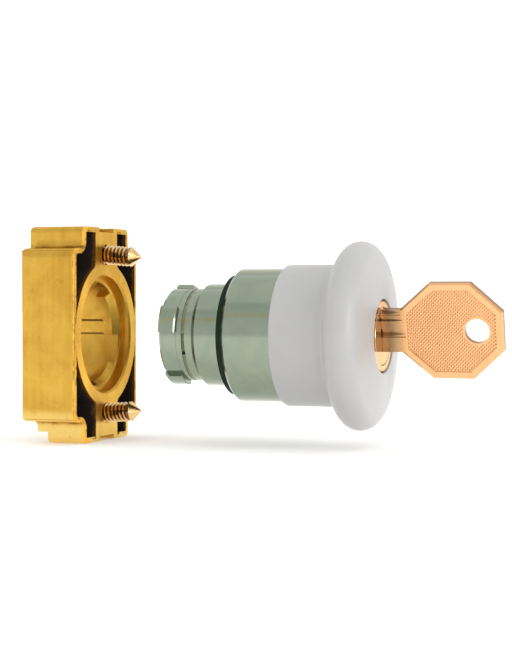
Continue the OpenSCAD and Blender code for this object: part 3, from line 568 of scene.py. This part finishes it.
# The pockets: inside the walls of body and tab, outside the ring and the webs, in front of the floor
# and of the steps under the lower tab
body_y, body_z, tab_y, tab_z, ring_r, web_y = 16.1, 18.3, 11.1, 23.1, 15.95, 5.65
floor_x, mouth_x, steps = -43.2, -31.5, ((-18.8, -41.6), (-21.2, -39.1))
hollow = any_of(tree, all_of(tree, under(tree, off_y, body_y), under(tree, off_z, body_z)),
    all_of(tree, under(tree, off_y, tab_y), under(tree, off_z, tab_z)))
clear = all_of(tree, past(tree, radius, ring_r), past(tree, off_y, web_y))
in_front = past(tree, x, floor_x)
for step_z, step_x in steps:
    outside = all_of(tree, under(tree, z, step_z), under(tree, x, step_x))
    in_front = all_of(tree, in_front, opposite(tree, outside))
open_pocket = all_of(tree, hollow, clear, in_front)
ragged = stirred(tree, x, blotch)
# Painted shade: the pockets are painted nearly black behind their ragged mouths
pocket = all_of(tree, open_pocket, under(tree, ragged, mouth_x, 0.9))
pocket_edge_shade = all_of(tree, open_pocket, under(tree, ragged, mouth_x + 0.4, 0.3))

# The gold, uneven and brushed along the collar's height, with a painted highlight on the foot and the near
# rim
brushed = node(tree, "Mapping", Scale=(700, 700, 45))
brush_marks = node(tree, "TexNoise", Scale=1.0, Detail=3.0, Roughness=0.6)
tree.links.new(node(tree, "TexCoord").outputs["Object"], brushed.inputs["Vector"])
tree.links.new(brushed.outputs["Vector"], brush_marks.inputs["Vector"])
uneven = stirred(tree, streak, brush_marks.outputs["Fac"])
gold = tint(tree, uneven, (0.475, 0.26, 0.035), (0.59, 0.36, 0.06), low=0.15, high=0.85)
downward, nearward = (math_node(tree, "MULTIPLY", value, -1.0) for value in (z, y))
foot_z, foot_y, rim_y = 17.0, 6.0, 9.5
# Painted highlight: the foot and the near side of the front rim are painted paler
foot_highlight = all_of(tree, past(tree, downward, foot_z, 2.2),
    math_node(tree, "MULTIPLY_ADD", past(tree, off_y, foot_y, 3.0), 0.4, 0.4))
rim_highlight = all_of(tree, past(tree, nearward, rim_y, 3.0), past(tree, x, mouth_x, 0.2))
gold = coloured(tree, gold, foot_highlight, (0.72, 0.53, 0.17))
gold = coloured(tree, gold, rim_highlight, (0.78, 0.44, 0.065))

# Stains in spots, painted shade along the pockets, on the ledges, the ends of the bore and the sides of
# the rib in it, grime on the rim, and the painted black shade of the pockets
spot = node(tree, "MapRange", From_Min=0.7, From_Max=1.0, To_Max=0.35)
tree.links.new(blotch, spot.inputs["Value"])
patchy = node(tree, "MapRange", From_Min=0.35, From_Max=0.75)
tree.links.new(blotch, patchy.inputs["Value"])
ledge_z, ledge_y, rim_x, rim_side_y = 19.1, 13.5, -31.25, 16.2
bore_end_z, bore_r, bore_front = 10.3, 13.2, -33.4
# Painted shade on the ledge corners and on the top and bottom of the bore; the rim line is grime
ledge = all_of(tree, near(tree, off_z, ledge_z, 0.7), under(tree, off_y, ledge_y, 1.0))
rim_line = all_of(tree, near(tree, x, rim_x, 0.22), past(tree, off_y, rim_side_y))
bore_ends = all_of(tree, past(tree, off_z, bore_end_z, 2.4), under(tree, radius, bore_r, 0.4),
    under(tree, x, bore_front, 0.5))
shade_and_grime_patches = all_of(tree, any_of(tree, ledge, rim_line, bore_ends),
    math_node(tree, "MULTIPLY_ADD", patchy.outputs["Result"], 0.6, 0.3))
# Painted shade: the sides of the rib in the bore are painted dark for the shade in its slits
rib_turn, rib_half, rib_y, rib_r, rib_front = math.radians(7), 1.5, 9.0, 12.7, -36.4
across_rib = blend(tree, y, -math.sin(rib_turn), z, math.cos(rib_turn))
rib_sides = all_of(tree, near(tree, math_node(tree, "ABSOLUTE", across_rib), rib_half, 0.35),
    past(tree, y, rib_y), under(tree, radius, rib_r, 0.2), under(tree, x, rib_front, 0.2))
# Real stains in spots, and painted shade in a brown fringe along the pocket mouths
gold = coloured(tree, gold, any_of(tree, spot.outputs["Result"], pocket_edge_shade), (0.32, 0.13, 0.02))
# The dark colour is painted shade on the ledges, bore ends and rib sides, and grime on the rim line
gold = coloured(tree, gold, any_of(tree, shade_and_grime_patches, rib_sides), (0.12, 0.045, 0.012))
gold = coloured(tree, gold, pocket, (0.012, 0.008, 0.008))
tree.links.new(gold, shader.inputs["Base Color"])
between(tree, pocket, 1.0, 0.2, shader.inputs["Metallic"])
tree.links.new(math_node(tree, "ADD", blend(tree, grit, 0.14, pocket, 0.4), 0.30), shader.inputs["Roughness"])
raised(tree, blend(tree, grit, 0.5, blotch, 0.5), 0.00005, shader)
dress(casting, "fixing_collar")

# ---- Clamp screws ----
# Two brass screws on leaning axes, with a cut thread whose roots carry painted shade, a point in front
# that digs into the panel, and a slotted head at the rear.
screw_x, screw_z, screw_lean = -0.031, 0.0177, math.radians(4.5)
brass, tree, shader = finish("bright_brass", Metallic=1.0)
marks = use(tree, smudges, Size=0.0015, Contrast=1.8)
x, y, z = axes_in_mm(tree)
axis_z = math_node(tree, "MULTIPLY_ADD", math_node(tree, "SUBTRACT", x, 1000 * screw_x),
    -math.tan(screw_lean), 1000 * screw_z)
above_axis = math_node(tree, "SUBTRACT", math_node(tree, "ABSOLUTE", z), axis_z)
# Painted shade: the roots of the thread are painted dark
root_shade_r, root_shade_front = 1.92, -25.0
root_shade = all_of(tree, under(tree, off_axis(tree, y, above_axis), root_shade_r, 0.3),
    under(tree, x, root_shade_front, 0.3))
crest_brass = tint(tree, marks, (0.62, 0.38, 0.15), (0.84, 0.60, 0.30))
tree.links.new(coloured(tree, crest_brass, root_shade, (0.10, 0.045, 0.02), 0.85), shader.inputs["Base Color"])
between(tree, marks, 0.12, 0.26, shader.inputs["Roughness"])
raised(tree, marks, 0.000003, shader)

pitch, crest, root, cone_at, tip_at, tip_share = 0.0009, 0.00218, 0.00166, 0.0062, 0.0085, 0.03
seat_at, head_r, head_h, head_edge, head_edge_share = -0.0103, 0.003, 0.0023, 0.0002, 0.93
slot_depth, slot_width, slot_length = 0.001, 0.001, 0.009
bpy.ops.object.select_all(action="DESELECT")
bpy.ops.mesh.primitive_cylinder_add(vertices=48, radius=root, depth=cone_at - seat_at,
    location=((cone_at + seat_at) / 2, 0, 0), rotation=(0, math.radians(90), 0))
screw = bpy.context.object
bpy.ops.object.transform_apply(location=True, rotation=True)
pick(screw, "FACE", lambda f: f.normal.x > 0.9)
bpy.ops.mesh.extrude_region()
bpy.ops.transform.resize(value=(1, crest / root, crest / root))
bpy.ops.mesh.extrude_region_move(TRANSFORM_OT_translate={"value": (tip_at - cone_at, 0, 0)})
bpy.ops.transform.resize(value=(1, tip_share, tip_share))
pick(screw, "FACE", lambda f: f.normal.x < -0.9 and f.center.x < seat_at + 1e-5)
bpy.ops.mesh.extrude_region()
bpy.ops.transform.resize(value=(1, head_r / root, head_r / root))
bpy.ops.mesh.extrude_region_move(TRANSFORM_OT_translate={"value": (head_edge - head_h, 0, 0)})
bpy.ops.mesh.extrude_region_move(TRANSFORM_OT_translate={"value": (-head_edge, 0, 0)})
bpy.ops.transform.resize(value=(1, head_edge_share, head_edge_share))
bpy.ops.object.mode_set(mode="OBJECT")
bpy.ops.mesh.primitive_cube_add(size=1, location=(seat_at - head_h, 0, 0),
    scale=(2 * slot_depth, slot_width, slot_length))
slot_cutter = bpy.context.object
bpy.context.view_layer.objects.active = screw
cut = screw.modifiers.new("slot", "BOOLEAN")
cut.object = slot_cutter
bpy.ops.object.modifier_apply(modifier="slot")
bpy.data.objects.remove(slot_cutter)

plain_start, plain_ends, root_share, crest_share, sunk = 0.0006, 0.0008, 0.94, 0.16, 0.0001
thread_start, thread_run = seat_at + plain_start, cone_at - seat_at - plain_ends
bpy.ops.object.select_all(action="DESELECT")
bpy.ops.mesh.primitive_plane_add(size=pitch * root_share, location=(thread_start, 0, root),
    rotation=(math.radians(90), 0, 0))
thread = bpy.context.object
bpy.ops.object.transform_apply(location=True, rotation=True)
for corner in thread.data.vertices:
    if corner.co.z > root:
        corner.co.x = thread_start + (corner.co.x - thread_start) * crest_share
        corner.co.z = crest
    else:
        corner.co.z = root - sunk
winding = thread.modifiers.new("winding", "SCREW")
winding.axis = "X"
winding.angle = math.radians(360)
winding.screw_offset = pitch
winding.iterations = int(thread_run / pitch)
winding.steps = winding.render_steps = 36
winding.use_merge_vertices = True
winding.merge_threshold = 1e-7
bpy.ops.object.modifier_apply(modifier="winding")
close_ends(4)
screw.select_set(True)
bpy.context.view_layer.objects.active = screw
bpy.ops.object.join()
bpy.ops.object.shade_smooth_by_angle(angle=math.radians(32))
lower = screw.copy()
lower.data = screw.data.copy()
bpy.context.scene.collection.objects.link(lower)
for made, sign, place in ((screw, 1, "top"), (lower, -1, "bottom")):
    made.data.transform(Matrix.Translation((screw_x, 0, sign * screw_z))
        @ Matrix.Rotation(sign * screw_lean, 4, "Y"))
    made.name = made.data.name = "threaded_screw_" + place
    made.data.materials.clear()
    made.data.materials.append(brass)
    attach(made, "screw_" + place)
    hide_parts("clamp_screw_" + place)
